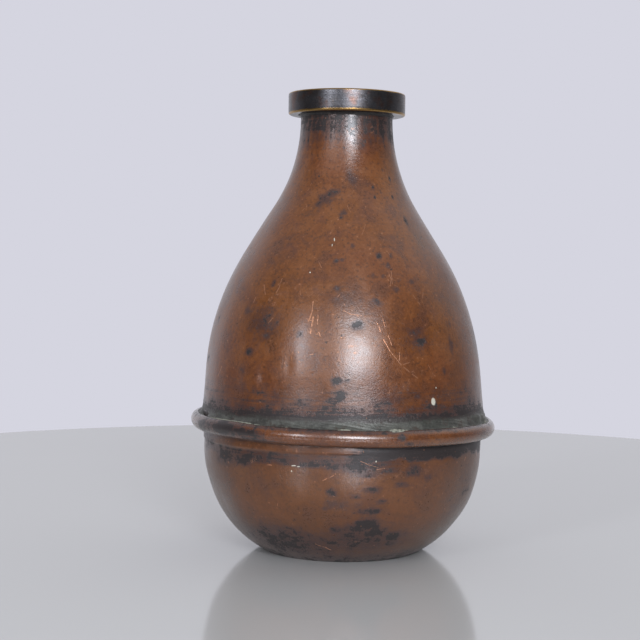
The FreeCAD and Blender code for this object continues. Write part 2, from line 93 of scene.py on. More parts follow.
def turned(name, outline, turns, shape=None, pattern=None):
    """Carries an outline of (radius, height) round Z, anticlockwise seen from above.

    Point (i, j) is outline point i at the angle 360 j / turns. shape(radius, height, angle) returns the
    worked radius and height, as whole arrays. A closed outline gives a ring, and one whose ends are on the
    axis gets a single point at each of them. pattern gives named values for the material, worked out from
    the same three arrays. turn and level say where on the unworked skin a point is.
    """
    poles = outline[0, 0] < 1e-9
    rows = outline[1:-1] if poles else outline
    angle = np.broadcast_to(np.arange(turns) * 360 / turns, (len(rows), turns))
    radius = np.broadcast_to(rows[:, :1], angle.shape)
    height = np.broadcast_to(rows[:, 1:], angle.shape)
    fields = {"turn": apart(angle, 0), "level": height}
    if pattern is not None:
        fields.update(pattern(radius, height, angle))
    if shape is not None:
        radius, height = shape(radius, height, angle)
    bearing = np.radians(angle)
    points = np.stack([radius * np.sin(bearing), -radius * np.cos(bearing), height], 2).reshape(-1, 3)

    index = np.arange(angle.size).reshape(angle.shape)
    if not poles:
        index = np.vstack([index, index[:1]])
    low, high = index[:-1], index[1:]
    quads = np.stack([low, np.roll(low, -1, 1), np.roll(high, -1, 1), high], 2).reshape(-1, 4)
    loops, sizes = [quads.ravel()], [np.full(len(quads), 4)]
    if poles:
        ends = [[0, 0, points[:turns, 2].mean()], [0, 0, points[-turns:, 2].mean()]]
        ring, last, pole = index[0], index[-1], len(points)
        points = np.vstack([points, ends])
        first_fan = np.stack([np.roll(ring, -1), ring, np.full(turns, pole)], 1)
        last_fan = np.stack([last, np.roll(last, -1), np.full(turns, pole + 1)], 1)
        loops += [first_fan.ravel(), last_fan.ravel()]
        sizes += [np.full(2 * turns, 3)]
    loops, sizes = np.concatenate(loops), np.concatenate(sizes)

    mesh = bpy.data.meshes.new(name)
    mesh.vertices.add(len(points))
    mesh.vertices.foreach_set("co", (points * MM).astype(np.float32).ravel())
    mesh.loops.add(len(loops))
    mesh.loops.foreach_set("vertex_index", loops.astype(np.int32))
    mesh.polygons.add(len(sizes))
    starts = np.concatenate([[0], np.cumsum(sizes)[:-1]])
    mesh.polygons.foreach_set("loop_start", starts.astype(np.int32))
    mesh.update(calc_edges=True)
    mesh.validate()
    mesh.polygons.foreach_set("use_smooth", np.ones(len(mesh.polygons), bool))
    for label, value in fields.items():
        value = np.concatenate([value.ravel(), np.zeros(2 if poles else 0)])
        mesh.attributes.new(label, "FLOAT", "POINT").data.foreach_set("value", value.astype(np.float32))
    piece = bpy.data.objects.new(name, mesh)
    bpy.context.scene.collection.objects.link(piece)
    return piece


def waves(angle, seed, cycles, size):
    """An uneven ripple round the bottle: a cosine for each number of cycles, of random size and phase."""
    draw = np.random.default_rng(seed)
    return sum(
        size * draw.uniform(0.4, 1) * np.cos(np.radians(n * angle + draw.uniform(0, 360)))
        for n in cycles
    )


def patch(radius, height, angle, bearing, level, wide, tall):
    """1 at a bearing and level, falling off as exp(-q), where q is the squared distance over half sizes."""
    across = np.radians(apart(angle, bearing)) * radius
    return np.exp(-((across / wide) ** 2) - ((height - level) / tall) ** 2)


def dented(out, free, radius, height, angle, dents):
    """How far out the skin stands with its dents, each its depth times patch, wherever free is 1."""
    for *place, depth in dents:
        out = out - free * (depth * patch(radius, height, angle, *place))
    return out


def stain(radius, height, angle, places):
    """How stained each point is: the largest, over the places, of strength times patch."""
    found = np.zeros(np.shape(angle))
    for *place, strength in places:
        found = np.maximum(found, strength * patch(radius, height, angle, *place))
    return found


BOWL_DENTS = [  # angle, height, half width, half height, depth
    (-66, 17, 9, 7, 0.8),
    (-30, 12, 8, 6, 0.25),
    (24, 20, 9, 8, 0.2),
    (58, 26, 7, 8, 0.25),
    (100, 16, 9, 8, 0.4),
    (148, 24, 8, 9, 0.35),
    (196, 14, 10, 6, 0.45),
    (236, 27, 7, 6, 0.3),
]
BOWL_STAINS = [  # angle, height, half width, half height, strength
    (-30, 7.0, 20, 6.5, 1.0),
    (10, 9.0, 17, 5.5, 0.9),
    (3, 19, 8, 4.5, 0.42),
    (62, 22, 13, 15, 0.46),
    (-14, 32.8, 17, 2.4, 0.66),
    (120, 16, 15, 12, 0.4),
    (200, 20, 18, 9, 0.4),
    (-3.7, 23.7, 2.2, 1.6, 0.92),
    (12, 24.5, 3.2, 1.2, 0.95),
    (5.5, 22.6, 2.4, 1.0, 0.7),
    (-2.5, 20.2, 3.6, 1.6, 0.88),
    (-6.5, 18.9, 1.6, 1.0, 0.9),
    (16, 20.9, 2.4, 1.1, 0.85),
    (11.5, 18.2, 4.2, 1.6, 1.0),
    (14.5, 18.0, 1.6, 1.0, 1.25),
    (11, 13.8, 4.8, 2.4, 1.35),
    (12, 14.2, 3.0, 1.2, 1.6),
    (6.5, 12.6, 5.0, 1.8, 1.2),
    (-2, 12.1, 2.4, 1.7, 1.2),
    (3.2, 10.8, 2.8, 1.2, 1.1),
    (14.8, 11.0, 4.4, 1.8, 1.35),
    (24.8, 9.6, 3.6, 2.3, 1.35),
    (26, 7.2, 3.2, 1.5, 1.2),
    (-4.5, 7.8, 2.4, 1.0, 1.25),
    (16, 7.4, 3.4, 1.0, 0.8),
    (-40, 9.2, 5.5, 2.0, 1.0),
    (-31.5, 8.2, 6.0, 2.2, 1.1),
    (-22, 7.2, 5.0, 1.4, 0.95),
    (-13, 6.6, 5.0, 1.2, 0.85),
    (18.8, 30.1, 3.2, 0.9, 1.2),
    (29.5, 29.8, 4.4, 2.3, 1.0),
    (24, 25.9, 3.0, 1.3, 0.95),
    (36, 27.5, 2.4, 1.4, 0.7),
    (7, 31.4, 7.5, 2.3, 1.2),
    (9, 29.0, 5.0, 1.0, 1.0),
    (-3, 31.2, 4.0, 1.5, 0.85),
    (17, 32.4, 6.0, 1.5, 0.85),
    (-54, 32.2, 6.5, 3.4, 1.25),
    (-42, 31.4, 5.5, 1.7, 1.15),
    (-33.5, 32.2, 4.4, 1.6, 1.0),
    (-24, 32.6, 6.5, 1.4, 1.0),
    (-14, 31.6, 5.5, 1.3, 0.95),
    (-6, 32.6, 6.0, 1.4, 0.75),
    (60, 16, 5, 3, 0.6),
    (88, 12, 2.6, 1.4, 1.2),
    (110, 25, 2.2, 1.0, 1.1),
    (171, 14, 2.0, 1.2, 1.2),
    (203, 22, 2.6, 1.1, 1.2),
    (228, 17, 1.8, 1.4, 1.1),
    (252, 9, 4.0, 1.6, 1.2),
    (284, 22, 2.0, 1.2, 1.0),
    (95, 20, 12, 7, 0.8),
    (132, 9, 14, 4, 0.95),
    (150, 28, 7, 3, 0.8),
    (161, 17, 3, 2, 1.1),
    (176, 22, 8, 4, 0.8),
    (190, 9, 6, 2, 1.0),
    (215, 12, 12, 4, 0.9),
    (240, 26, 5, 5, 0.75),
    (268, 18, 8, 5, 0.8),
]
BEAD_STAINS = [  # the same, on the bead
    (-62, 39.5, 7, 3, 1.15),
    (-49, 40.0, 9, 2.6, 1.6),
    (-37, 39.9, 7, 1.5, 1.3),
    (-34, 38.2, 8, 1.0, 0.9),
    (21, 40.3, 1.6, 1.6, 0.95),
    (24, 38.6, 2.6, 1.0, 0.8),
    (45, 41.2, 1.2, 0.8, 0.9),
    (64, 39.6, 5, 2, 0.55),
    (118, 40, 9, 3, 0.8),
    (171, 39, 6, 3, 0.8),
    (226, 40, 8, 2, 0.75),
    (262, 39, 4, 3, 0.7),
]
BOWL_WEAR = [  # the same, where the skin is rubbed through in flecks
    (-52, 30.5, 3.5, 2.5, 0.7),
    (-35.6, 30.8, 2.6, 1.3, 1.1),
    (3, 7.5, 3, 1.4, 0.9),
    (33, 31, 7, 2.2, 0.5),
    (20, 28.5, 6, 1.2, 0.45),
    (140, 20, 8, 5, 0.6),
    (205, 27, 9, 3, 0.6),
]


def bowl_outline():
    """Out along the dish, ring, low arc, high arc and ledge, round the roll to its lip, and back inside.

    The dish is part of a ball, rise high over a circle of radius dish. The arcs of radii low and high meet
    where both are split degrees below level.
    """
    dish, rise, base, corner = 19.0, 0.9, 23.8, 1.2
    wall, wall_height, low, high, split = BOWL_WALL, 32.8, 33.3, 42.3, 18.0
    high_centre = (wall - high, wall_height)
    joint = arc(high_centre, high, -split, -split, 1)[0]
    low_centre = arc(joint, low, 180 - split, 180 - split, 1)[0]
    corner_angle = math.degrees(math.atan2(low_centre[1] - corner, base - low_centre[0]))
    ball = (dish**2 + rise**2) / (2 * rise)
    dish_angle = math.degrees(math.acos(dish / ball))
    side = np.vstack([
        arc((0, rise - ball), ball, 90, dish_angle, 12),
        run((dish, 0), (base, 0), 3),
        arc((base, corner), corner, -90, -corner_angle, 5),
        arc(low_centre, low, -corner_angle, -split, 54)[1:],
        arc(high_centre, high, -split, 0, 20)[1:],
        run((wall, wall_height), (wall, LEDGE_FOOT), 3),
    ])
    up = np.linspace(LEDGE_FOOT, LEDGE_END, 9)
    step = np.stack([wall + LEDGE * smooth(up, LEDGE_FOOT, LEDGE_EDGE), up], 1)
    out = wall + LEDGE
    crease = [(out, CREASE - 0.3), (out + 0.08, CREASE - 0.06), (out + 0.2, CREASE + 0.04)]
    roll = arc(BEAD, BEAD_ROLL, -113, BEAD_LIP, 44)
    lip_centre = arc(BEAD, BEAD_ROLL - SHEET / 2, BEAD_LIP, BEAD_LIP, 1)[0]
    lip = arc(lip_centre, SHEET / 2, BEAD_LIP, BEAD_LIP + 180, 7)[1:-1]
    gutter = arc(BEAD, BEAD_ROLL - SHEET, BEAD_LIP, -110, 18)
    inner_bend = arc((wall + 0.5, CREASE - 0.3), 0.5 + SHEET, 70, 180, 5)
    inside = inset(side[12:], SHEET)[::3][::-1]
    floor = arc((0, rise - ball), ball + SHEET, dish_angle + 2, 90, 6)
    outline = np.vstack([side, step, crease, roll, lip, gutter, inner_bend, inside, floor])
    outline[0, 0] = outline[-1, 0] = 0
    return outline


def bead_sway(angle):
    """How far the bead stands above its true height and outside its true radius: it was dressed by hand.

    It stands highest at -X and lowest at +X, following the sine of the angle, with slow ripples both ways.
    """
    lift = 0.75 * np.cos(np.radians(angle + 90)) + waves(angle, 3, (2, 3, 5, 9), 0.06)
    return lift - 0.06, waves(angle, 4, (2, 4, 7, 13), 0.05) - 0.1


def bowl_shape(radius, height, angle):
    """Dents and slow ripples in the bowl's side, none at its standing ring, and the hand-dressed bead.

    The ledge is pressed flat from the front round the right to the back. The bead's lip is curled in or out
    by turning each point about the bead's centre, more towards the lip.
    """
    side = smooth(height, 1.5, 9) * smooth(height, 36, 31)
    outside = radius > BOWL_WALL - LEDGE
    ledge = smooth(height, LEDGE_FOOT, LEDGE_EDGE) * smooth(height, 37.4, 36.9) * outside
    pressed = ledge * smooth(apart(angle, 95), -95, -86) * smooth(apart(angle, 95), 120, 90)
    out = -0.9 * LEDGE * pressed + side * waves(angle + 2 * height, 1, (2, 3, 5, 8, 13), 0.06)
    out = dented(out, side, radius, height, angle, BOWL_DENTS)
    bead = smooth(height, 35.5, 37.5)
    lift, swell = bead_sway(angle)
    turn = np.degrees(np.arctan2(height - BEAD[1], radius - BEAD[0]))
    curl = waves(angle, 5, (3, 6, 11, 17), 2.6) + 11 * hill(apart(angle, 46), 24)
    curl = smooth(turn, -60, BEAD_LIP) * (curl + 5 * hill(apart(angle, -48), 24))
    curl = np.where(height > BEAD[1] - 2, curl, 0)
    reach, curled = np.hypot(height - BEAD[1], radius - BEAD[0]), np.radians(turn + curl)
    worked_radius = np.where(curl != 0, BEAD[0] + reach * np.cos(curled), radius)
    worked_height = np.where(curl != 0, BEAD[1] + reach * np.sin(curled), height)
    return worked_radius + out + bead * swell, worked_height + bead * lift


def bowl_pattern(radius, height, angle):
    """Oxide in a band under the bead, deeper on the right, in blotches and low down, and a painted shadow
    in the crease under the bead.

    The ledge is rubbed clean at the front left. The skin is darker all over, and has painted shade towards
    the sides and the foot.
    """
    right = smooth(apart(angle, 95), -98, -86) * smooth(apart(angle, 95), 120, 90)
    left = smooth(np.abs(apart(angle, -50)), 34, 20)
    edge = 30.8 + 0.8 * smooth(apart(angle, 40), -40, -18) * smooth(apart(angle, 40), 70, 40)
    edge = edge + waves(angle, 11, (9, 17, 31, 45), 0.5)
    band = (0.55 + 0.75 * right + 0.3 * left) * smooth(height, edge, edge + 2.2) * smooth(height, 38, 36.9)
    rubbed = smooth(height, 34.5, 35.1) * smooth(height, 37.3, 36.8)
    rubbed = smooth(np.abs(apart(angle, -28)), 44, 26) * rubbed
    # Painted shadow: a thin dark line in the crease under the bead's roll, carried in the oxide value.
    crease = hill(height - CREASE - 0.05, 0.3) * (radius > BOWL_WALL - LEDGE)
    foot = 0.8 * smooth(height, 7.0, 1.0)
    bead = smooth(height, 37.6, 38.2)
    low = bead * (0.24 + 0.5 * smooth(height, 40.9, 41.8))
    high = stain(radius, height, angle, BEAD_STAINS)
    marks = stain(radius, height, angle, BOWL_STAINS)
    # Painted shade: darker away from the front, towards the sides.
    aside = np.abs(apart(angle, 0))
    shaded = smooth(aside, 36, 66) * smooth(aside, 150, 115)
    return {
        "oxide": np.maximum.reduce([band * (1 - 0.9 * rubbed), 0.95 * crease, foot, marks, low, high]),
        "streak": 0.25 + 0.35 * smooth(height, 29, 34) - 0.2 * bead,
        "drip": np.zeros(angle.shape),
        "tone": 0.2 + 0.7 * bead + waves(angle + 2 * height, 12, (2, 5, 7), 0.12),
        "wear": np.maximum(0.55 * rubbed, stain(radius, height, angle, BOWL_WEAR)),
        # An even darkening, less on the bead, plus painted shade towards the sides and towards the foot.
        "darkening_and_shade": 0.42 - 0.24 * bead + 0.32 * shaded + 0.36 * smooth(height, 18, 6),
        "polish": bead,
    }


class Field:
    """A socket in a node tree. Arithmetic with a field adds Math nodes and gives another field."""

    def __init__(self, tree, socket=None):
        self.tree, self.socket = tree, socket

    def node(self, kind, sockets=(), out=0, **settings):
        """Adds a node of a kind. The settings are made first, then its sockets get values or links."""
        made = self.tree.nodes.new("ShaderNode" + kind)
        for name, value in settings.items():
            setattr(made, name, value)
        for name, value in dict(sockets).items():
            if isinstance(value, Field):
                self.tree.links.new(value.socket, made.inputs[name])
            else:
                made.inputs[name].default_value = value
        return Field(self.tree, made.outputs[out])

    def math(self, operation, *values):
        """A Math node on numbers and fields."""
        return self.node("Math", enumerate(values), operation=operation)

    def __add__(self, other):
        return self.math("ADD", self, other)

    def __sub__(self, other):
        return self.math("SUBTRACT", self, other)

    def __rsub__(self, other):
        return self.math("SUBTRACT", other, self)

    def __mul__(self, other):
        return self.math("MULTIPLY", self, other)

    __radd__, __rmul__ = __add__, __mul__

    def clamped(self):
        """No less than 0 and no more than 1."""
        return self.math("MINIMUM", self.math("MAXIMUM", self, 0.0), 1.0)

    def most(self, other):
        """The larger of this field and another."""
        return self.math("MAXIMUM", self, other)

    def step(self, low, high):
        """0 below low, 1 above high, and a smooth rise between them."""
        sockets = {"Value": self, "From Min": low, "From Max": high}
        return self.node("MapRange", sockets, interpolation_type="SMOOTHSTEP")

    def value(self, name):
        """One of the piece's own named values."""
        return self.node("Attribute", out="Fac", attribute_name=name)

    def place(self, stretch=(1, 1, 1)):
        """The point on the piece, in metres, with each axis scaled."""
        spot = self.node("TexCoord", out="Object")
        if stretch == (1, 1, 1):
            return spot
        return self.node("VectorMath", {0: spot, 1: stretch}, operation="MULTIPLY")

    def grain(self, size, detail=3.0, rough=0.55, stretch=(1, 1, 1), warp=0.0):
        """Noise with features of about a size in millimetres, near 0.5 on average."""
        sockets = {"Vector": self.place(stretch), "Scale": 1 / (size * MM), "Detail": detail}
        return self.node("TexNoise", {**sockets, "Roughness": rough, "Distortion": warp})

    def tint(self, first, second):
        """first where this field is 0, and second where it is 1."""
        first, second = ((*c, 1) if isinstance(c, tuple) else c for c in (first, second))
        return self.node("Mix", {0: self, 6: first, 7: second}, out=2, data_type="RGBA")


def new_material(name):
    """A new material, its node tree as a field, and its shader node."""
    material = bpy.data.materials.new(name)
    material.use_nodes = True
    shader = next(n for n in material.node_tree.nodes if n.type == "BSDF_PRINCIPLED")
    return material, Field(material.node_tree), shader


def feed(shader, fields):
    """Links each field to the shader's socket of that name."""
    for socket, field in fields.items():
        field.tree.links.new(field.socket, shader.inputs[socket])


SKIN_SPREAD = math.radians(40)  # how far a degree of turn goes across the skin, near enough on the belly
SHAKE, SHAKES = 0.7, 420.0  # how far a scratch's line is shaken, and how many times to the metre


def skin(tree):
    """A point's place on the skin, across and up, shaken a little as a dragged point shakes."""
    across = tree.value("turn") * SKIN_SPREAD
    flat = tree.node("CombineXYZ", {"X": across, "Y": tree.value("level")})
    shake = tree.node("TexNoise", {"Vector": tree.place(), "Scale": SHAKES, "Detail": 3.0}, out="Color")
    return tree.node("VectorMath", {0: shake, 1: (SHAKE, SHAKE, 0), 2: flat}, operation="MULTIPLY_ADD")


def on_skin(point):
    """Where skin() puts a point of (angle, height), with the middle of its shaking."""
    return (point[0] * SKIN_SPREAD + SHAKE / 2, point[1] + SHAKE / 2, 0)


def scratch(tree, spot, line, width):
    """1 on a scratch through points of (angle, height), fading to 0 at its width.

    The nearest point of a straight run is its start plus a share of the run, where the share is the offset
    from the start projected on the run, kept from 0 to 1. The nearest run counts.
    """
    found = None
    for start, end in zip(line, line[1:]):
        origin, along = np.array(on_skin(start)), np.array(on_skin(end)) - on_skin(start)
        offset = tree.node("VectorMath", {0: spot, 1: tuple(origin)}, operation="SUBTRACT")
        rate = tuple(along / (along @ along))
        share = tree.node("VectorMath", {0: offset, 1: rate}, out="Value", operation="DOT_PRODUCT")
        share = share.clamped()
        nearest = tree.node("VectorMath", {0: tuple(along), "Scale": share}, operation="SCALE")
        gap = tree.node("VectorMath", {0: offset, 1: nearest}, out="Value", operation="DISTANCE")
        found = gap if found is None else found.math("MINIMUM", found, gap)
    return found.step(width, 0.3 * width)


def stray_scratches(seed, count, heights):
    """Short fine scratches: each starts at a random place and runs a random way, mostly upright."""
    draw = np.random.default_rng(seed)
    starts = np.stack([draw.uniform(-170, 170, count), draw.uniform(*heights, count)], 1)
    starts[: count // 2, 0] = draw.uniform(-45, 45, count // 2)
    lean, length = np.radians(draw.normal(90, 35, count)), draw.uniform(1.0, 4.0, count)
    ends = starts + np.stack([length * np.cos(lean) / SKIN_SPREAD, length * np.sin(lean)], 1)
    widths = draw.uniform(0.07, 0.14, count)
    return [([tuple(a), tuple(b)], float(w)) for a, b, w in zip(starts, ends, widths)]


def fleck(tree, spot, point, wide, tall):
    """1 inside an oval about a point of (angle, height), where wide and tall are its half sizes."""
    offset = tree.node("VectorMath", {0: spot, 1: on_skin(point)}, operation="SUBTRACT")
    scaled = tree.node("VectorMath", {0: offset, 1: (1 / wide, 1 / tall, 1)}, operation="MULTIPLY")
    return tree.node("VectorMath", {0: scaled}, out="Value", operation="LENGTH").step(1.15, 0.75)


BROWN, RED_BROWN = (0.228, 0.071, 0.01), (0.21, 0.06, 0.014)
TAN, DARK_BROWN, DULL_BROWN = (0.3, 0.108, 0.034), (0.12, 0.047, 0.025), (0.115, 0.043, 0.032)
LIGHT_SPECK, DARK_SPECK = (0.37, 0.14, 0.05), (0.078, 0.031, 0.017)
DARKENING_AND_SHADE_BROWN, GROOVE_BROWN = (0.085, 0.03, 0.01), (0.085, 0.04, 0.03)
OXIDE_HAZE, BLACK_OXIDE = (0.064, 0.03, 0.027), (0.02, 0.0135, 0.0135)
BARE_COPPER, PALE_CRUST = (0.66, 0.31, 0.175), (0.74, 0.7, 0.58)


def aged_copper(name, scratches, nicks):
    """Old copper: brown all over, blackened in blotches and streaks, and rubbed back to metal in scratches.

    The piece's own values say where: oxide for blackening, and on the bowl for a painted shadow in the
    bead's crease, streak and drip for how far it runs in level and upright lines, tone for redder copper,
    wear for rubbing, one more for an even darkening with painted shade on top, and polish for a smoother
    skin. The nicks are flecks of pale crust.
    """
    material, tree, shader = new_material(name)
    broad, cloud = tree.grain(26, 2, warp=0.5), tree.grain(7, 4, 0.6, warp=0.5)
    flakes, speck, dust = tree.grain(2.2, 6, 0.78, warp=0.3), tree.grain(0.9, 5, 0.7), tree.grain(0.45, 2)
    lines = tree.grain(30, 6, 0.85, stretch=(1, 1, 26))
    drips = tree.grain(1.7, 4, 0.65, stretch=(1, 1, 0.12))
    names = ("oxide", "streak", "drip", "tone", "wear", "darkening_and_shade", "polish")
    oxide, streak, drip, tone, wear, darkening_and_shade, polish = (tree.value(name) for name in names)

    brown = (tone + (broad - 0.5) * 3.2).clamped().tint(BROWN, RED_BROWN)
    brown = (cloud.step(0.45, 0.7) * 0.5).tint(brown, TAN)
    brown = (cloud.step(0.52, 0.32) * 0.6).tint(brown, DARK_BROWN)
    brown = (tree.grain(11, 6, 0.7, warp=0.6).step(0.48, 0.66) * 0.42).tint(brown, DULL_BROWN)
    brown = (speck.step(0.52, 0.74) * 0.55).tint(brown, LIGHT_SPECK)
    brown = (speck.step(0.49, 0.32) * 0.75).tint(brown, DARK_SPECK)
    # An even darkening plus painted shade, towards a dark brown, wherever the piece's pattern asks for it.
    brown = darkening_and_shade.tint(brown, DARKENING_AND_SHADE_BROWN)
    grooves = lines.step(0.52, 0.66) * (streak.step(0.2, 0.8) * 0.75 + 0.15)
    brown = grooves.tint(brown, GROOVE_BROWN)

    ragged = (flakes - 0.5) * 2.5 + (cloud - 0.5) * 1.2 + (speck - 0.5) * 1.2
    ragged = ragged + (lines - 0.5) * streak * 3.2 + (drips - 0.5) * drip * 2.0
    haze = (oxide + ragged * 0.6).step(0.22, 0.78)
    black = (oxide + ragged).step(0.8, 0.97)
    pits = tree.grain(1.5, 3, 0.6).step(0.675, 0.73) * tree.grain(17, 2).step(0.45, 0.58)
    black = black.most(pits * 0.85)
    # On the bowl the oxide haze and black also paint the shadow in the crease under the bead.
    colour = (haze * 0.8).tint(brown, OXIDE_HAZE)
    colour = (black * 0.93).tint(colour, BLACK_OXIDE)

    spot, broken = skin(tree), tree.grain(1.3, 2).step(0.36, 0.52)
    marks = scratch(tree, spot, *scratches[0])
    for line, width in scratches[1:]:
        marks = marks.most(scratch(tree, spot, line, width))
    rub = tree.grain(1.7, 5, 0.75).step(0.57, 0.68) * wear
    grit = tree.grain(0.9, 1).step(0.74, 0.8)
    bare = (marks * broken).most(rub).most(grit * 0.55)
    colour = (bare * 0.85).tint(colour, BARE_COPPER)
    crust = sum(fleck(tree, spot, *nick) for nick in nicks).clamped()
    colour = crust.tint(colour, PALE_CRUST)

    relief = speck * 0.45 + cloud * 0.8 + flakes * 0.4 - black * 0.3 - bare * 0.2 + dust * 0.25 + crust
    normal = tree.node("Bump", {"Strength": 0.35, "Distance": 0.0003, "Height": relief})
    rough = 0.33 + (cloud - 0.5) * 0.3 + (speck - 0.5) * 0.2 + black * 0.15 + haze * 0.04 - polish * 0.08
    feed(shader, {
        "Base Color": colour,
        "Roughness": rough,
        "Metallic": 0.05 + bare * 0.65,
        "Coat Weight": 0.32 + polish * 0.4 - black * 0.22 - crust * 0.3,
        "Normal": normal,
    })
    shader.inputs["IOR"].default_value = 1.7
    shader.inputs["Coat Roughness"].default_value = 0.17
    return material


lower_bowl = turned("lower_bowl_copper", bowl_outline(), BOWL_TURNS, bowl_shape, bowl_pattern)
bowl_scratches = [  # each a line of (angle, height) and its width
    ([(-7.4, 27.2), (-2.4, 29.3)], 0.18),
    ([(-13, 7.1), (-5.2, 5.1)], 0.2),
    ([(7, 33), (15, 30.8)], 0.08),
    ([(-30, 30.9), (-28, 30.8)], 0.22),
    ([(150, 12), (163, 17)], 0.18),
    ([(-120, 24), (-113, 20), (-108, 19)], 0.18),
    *stray_scratches(61, 4, (8, 31)),
]
bowl_nicks = [  # each an (angle, height), half width and half height
    ((-18.8, 31.2), 0.7, 0.17),
    ((-16.8, 31.0), 0.45, 0.12),
    ((-19.5, 29.6), 0.16, 0.3),
    ((13.2, 32.9), 0.2, 0.25),
]
lower_bowl.data.materials.append(aged_copper("bowl_copper", bowl_scratches, bowl_nicks))
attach(lower_bowl, "root")
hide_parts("lower_bowl")


# --- Upper body -------------------------------------------------------------------------------------
# Neck, shoulder and belly raised in one from copper sheet and planished in upright strips, which leaves low
# ridges between them. A small flange turned out at its foot sits in the bowl's gutter.

NECK, NECK_FOOT, NECK_TOP = 14.3, 134.5, 138.8  # outer radius, and the heights of the straight neck's ends
SWEEP = 52.2  # radius of the hollow curve from the neck to the shoulder
BELLY, SHOULDER_LEAN = 82.2, 32.3  # radius of the belly's curve, and how far the skin leans in at its top
SKIRT, SKIRT_LEAN = (44.4, 38.4), 4.2  # the foot's radius and height, and how far the skin leans in there
BELLY_BULGE = 0.42
BODY_TURNS = 384
# Angles of the ridges between the strips, how far they sway, the height for a radian of sway, and how far
# they drift for each millimetre of height.
RIDGES = [-180, -158, -141, -121, -99, -80, -61, -42, -21.5, -4.5, 17, 38, 57, 79, 101, 120, 142, 161, 180]
SWAY, SWAY_HEIGHT, DRIFT = 1.6, 6.5, -0.07
BODY_DENTS = [  # angle, height, half width, half height, depth
    (5, 72, 2.2, 2.0, 0.09),
    (-16, 60, 4.8, 10, 0.05),
    (-21.8, 60.2, 1.2, 3.2, 0.17),
    (-33.2, 56.4, 1.6, 2.6, 0.6),
    (-31.2, 54.0, 0.9, 0.9, 0.18),
    (-47, 57, 4, 7, 0.3),
    (32, 68, 5, 5, 0.3),
    (60, 80, 8, 9, 0.4),
    (-62, 92, 7, 9, 0.35),
    (-12, 86, 7, 6, 0.2),
    (96, 62, 8, 9, 0.5),
    (128, 84, 7, 8, 0.4),
    (166, 60, 9, 8, 0.45),
    (205, 76, 8, 9, 0.4),
    (238, 55, 7, 7, 0.4),
    (262, 88, 7, 7, 0.3),
]
